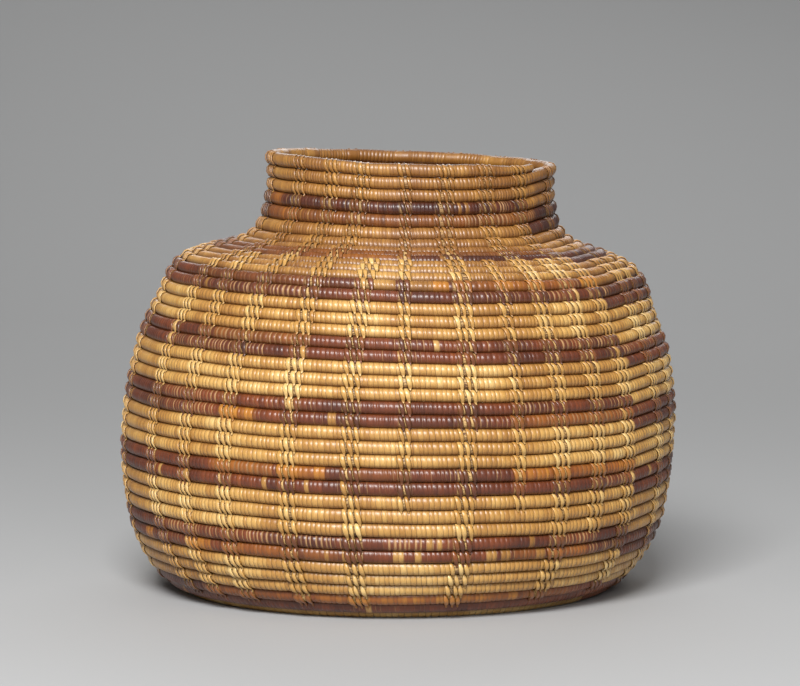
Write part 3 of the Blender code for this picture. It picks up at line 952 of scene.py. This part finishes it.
# each finish: roughness, coat, the coat's roughness and how strong the dirt and painted shade are in its
# crevices
finishes = {
    "light_strips": (0.4, 0.6, 0.38, 0.85),
    "dark_strips": (0.38, 0.28, 0.28, 0.75),
    "stitch_strips": (0.36, 0.6, 0.32, 0.6),
    "knot_strips": (0.55, 0.0, 0.3, 0.6),
}
lightStrips, darkStrips, stitchStrips, knotStrips = [
    fibreMaterial(name, *finish) for name, finish in finishes.items()
]
print("fibre materials made")

# the wall from the rim down, in light and dark bands by turns, and then the base
endTurn = coil["lightTurns"]
coilPiece("rim_coils", 0, endTurn, coil["neckWrapWidth"], lightStrips)
for band in range(1, coil["darkBands"] + 1):
    width = coil["neckWrapWidth"] if endTurn < coil["neckTurns"] else coil["wrapWidth"]
    startTurn = endTurn
    endTurn = startTurn + coil["darkTurns"]
    coilPiece(f"dark_coils_{band}", startTurn, endTurn, width, darkStrips)
    if band < coil["darkBands"]:
        startTurn = endTurn
        endTurn = startTurn + coil["lightTurns"]
        coilPiece(f"light_coils_{band}", startTurn, endTurn, width, lightStrips)
coilPiece("base_coils", endTurn, allTurns, coil["baseWrapWidth"], lightStrips)
knotPiece(knotStrips)
print("coil wrapped")
for number, column in enumerate(allColumns(), 1):
    stitchPiece(number, column, stitchStrips)
print("long stitches made")

# The studio: a pale floor that curves up behind, soft lamps and the photograph's view
studio = {
    "floorColour": (0.42, 0.423, 0.425),
    "floorRoughness": 0.9,
    "floorSize": 6.0,
    "bend": 1.2,
    "bendSteps": 16,
    "skyColour": (1, 0.98, 0.95),
    "skyLight": 0.06,
    # the surroundings are paler where the camera looks past the paper or a gloss shows them
    "skySeen": 0.27,
    "cameraPlace": (0.0007, -1.6, 0.2464),
    "cameraDown": 4.40,
    "focalPixels": 3160,
    "imageWidth": 800,
    "clip": (0.05, 30),
}
# each lamp: name, place, what it points at, size across and down, power
lamps = [
    ("key", (-0.25, -1.6, 1.4), (0, 0, 0.1), (0.9, 0.55), 57),
    ("front", (0.1, -1.9, 0.8), (0, 0, 0.1), (0.9, 0.4), 9),
    ("top", (0.0, -0.2, 2.0), (0, 0, 0.1), (1.4, 1.0), 2),
    ("fillLeft", (-2.0, -0.6, 0.9), (0, 0, 0.1), (1.4, 1.4), 0.9),
    ("fillRight", (2.0, 0.2, 0.9), (0, 0, 0.1), (1.4, 1.4), 1.0),
    ("back", (0.2, 2.3, 1.5), (0, 0, 0.1), (2.2, 1.2), 21),
]


def pointAt(thing, target):
    away = Vector(target) - thing.location
    thing.rotation_euler = away.to_track_quat("-Z", "Y").to_euler()


def makeFloor():
    mesh = bpy.data.meshes.new("studio_floor")
    shape = bmesh.new()
    half = studio["floorSize"] / 2
    near = shape.verts.new((-half, -half, 0))
    far = shape.verts.new((-half, half - studio["bend"], 0))
    shape.edges.new((near, far))
    bmesh.ops.spin(
        shape,
        geom=[far],
        cent=(-half, half - studio["bend"], studio["bend"]),
        axis=(1, 0, 0),
        angle=math.pi / 2,
        steps=studio["bendSteps"],
        use_merge=False,
    )
    swept = bmesh.ops.extrude_edge_only(shape, edges=shape.edges[:])
    moved = [part for part in swept["geom"] if isinstance(part, bmesh.types.BMVert)]
    bmesh.ops.translate(shape, verts=moved, vec=(studio["floorSize"], 0, 0))
    bmesh.ops.recalc_face_normals(shape, faces=shape.faces)
    for face in shape.faces:
        face.smooth = True
    shape.to_mesh(mesh)
    shape.free()
    material = bpy.data.materials.new("studio_paper")
    material.use_nodes = True
    shader = material.node_tree.nodes["Principled BSDF"]
    shader.inputs["Base Color"].default_value = (*studio["floorColour"], 1)
    shader.inputs["Roughness"].default_value = studio["floorRoughness"]
    mesh.materials.append(material)
    floor = bpy.data.objects.new("studio_floor", mesh)
    bpy.context.scene.collection.objects.link(floor)


def makeLamps():
    for name, place, target, size, power in lamps:
        data = bpy.data.lights.new(name, "AREA")
        data.shape = "RECTANGLE"
        data.size, data.size_y = size
        data.energy = power
        lamp = bpy.data.objects.new(name, data)
        lamp.location = place
        pointAt(lamp, target)
        bpy.context.scene.collection.objects.link(lamp)


def makeSky():
    world = bpy.data.worlds.new("studio_world")
    world.use_nodes = True
    tree = world.node_tree
    sky = tree.nodes["Background"]
    sky.inputs["Color"].default_value = (*studio["skyColour"], 1)
    path = tree.nodes.new("ShaderNodeLightPath").outputs
    seen = mathNode(tree, "MAXIMUM", path["Is Camera Ray"], path["Is Glossy Ray"])
    seen = mathNode(tree, "MAXIMUM", seen, path["Is Transmission Ray"])
    added = studio["skySeen"] - studio["skyLight"]
    strength = mathNode(tree, "MULTIPLY_ADD", seen, added, studio["skyLight"])
    tree.links.new(strength, sky.inputs["Strength"])
    bpy.context.scene.world = world


def makeCamera():
    data = bpy.data.cameras.new("camera")
    data.angle = 2 * math.atan(studio["imageWidth"] / 2 / studio["focalPixels"])
    data.clip_start, data.clip_end = studio["clip"]
    camera = bpy.data.objects.new("camera", data)
    camera.location = studio["cameraPlace"]
    camera.rotation_euler = (math.radians(90 - studio["cameraDown"]), 0, 0)
    bpy.context.scene.collection.objects.link(camera)
    bpy.context.scene.camera = camera


makeFloor()
makeLamps()
makeSky()
makeCamera()
bpy.context.scene.view_settings.view_transform = "Standard"
print("studio ready")
